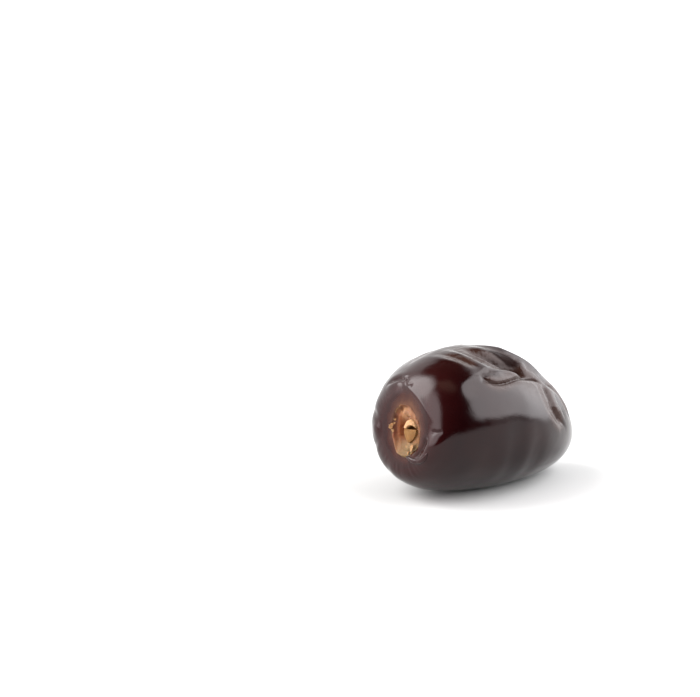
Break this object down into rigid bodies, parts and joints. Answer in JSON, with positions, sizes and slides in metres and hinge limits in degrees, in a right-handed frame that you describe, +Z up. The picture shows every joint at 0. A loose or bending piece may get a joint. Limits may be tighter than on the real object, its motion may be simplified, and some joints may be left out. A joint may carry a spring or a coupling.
{
  "type": "mazafati date",
  "caption": "Ripe mazafati date lying on its side: a plump, dark, glossy fruit with a folded top and the pale dry calyx remnant in its dished stem end.",
  "frame": {"origin": "on the ground, under the middle of the fruit's bounding box", "axes": "+X runs from the stem end towards the tip, +Z is up, and the side with the long crease faces -Y"},
  "size_m": [0.0353, 0.0238, 0.0223],
  "materials": {
    "date_skin": "gloss",
    "dry_calyx": "matte"
  },
  "bodies": {
    "root": {"fruit": "date_skin", "calyx_remnant": "dry_calyx"}
  },
  "joints": []
}
